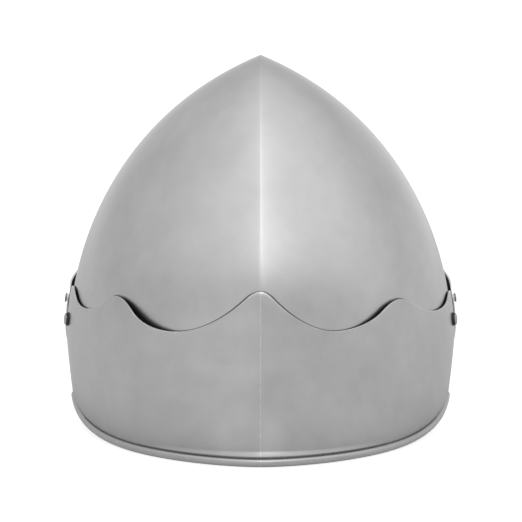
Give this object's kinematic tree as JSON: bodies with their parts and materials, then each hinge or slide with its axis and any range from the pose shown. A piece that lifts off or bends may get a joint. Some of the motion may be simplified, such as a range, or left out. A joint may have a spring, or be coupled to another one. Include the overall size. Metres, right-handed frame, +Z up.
{
  "type": "sallet helmet with a visor and a neck lame",
  "caption": "Steel sallet: pointed skull with a medial ridge, a pivoting visor with a sight slit and a wavy-edged neck lame with a rolled rim.",
  "frame": {"origin": "centre of the overall footprint, on the floor that the helmet stands on; y = 0 is the visor's pivot plane", "axes": "+Z up through the skull, -Y toward the face and the visor's prow, +Y toward the tail, +X toward the wearer's left"},
  "size_m": [0.2154, 0.289, 0.2005],
  "materials": {
    "skull_steel": "satin polished",
    "lame_steel": "satin polished",
    "visor_steel": "satin polished",
    "rivet_steel": "satin",
    "washer": "matte black"
  },
  "bodies": {
    "skull": {"skull": "skull_steel", "pivot_rivet_left": "rivet_steel", "pivot_rivet_right": "rivet_steel", "lame_rivet_left": "rivet_steel", "lame_rivet_right": "rivet_steel", "lame_washer_left": "washer", "lame_washer_right": "washer"},
    "neck_lame": {"neck_lame": "lame_steel"},
    "visor": {"visor": "visor_steel"}
  },
  "joints": [
    {"name": "visor_pivot", "type": "hinge", "parent": "skull", "child": "visor", "pos_m": [0, 0, 0.0653], "axis": [-1, 0, 0], "range_deg": [0, 45]},
    {"name": "neck_lame_pivot", "type": "hinge", "parent": "skull", "child": "neck_lame", "pos_m": [0, 0.027, 0.0577], "axis": [1, 0, 0], "range_deg": [-4, 8]}
  ]
}
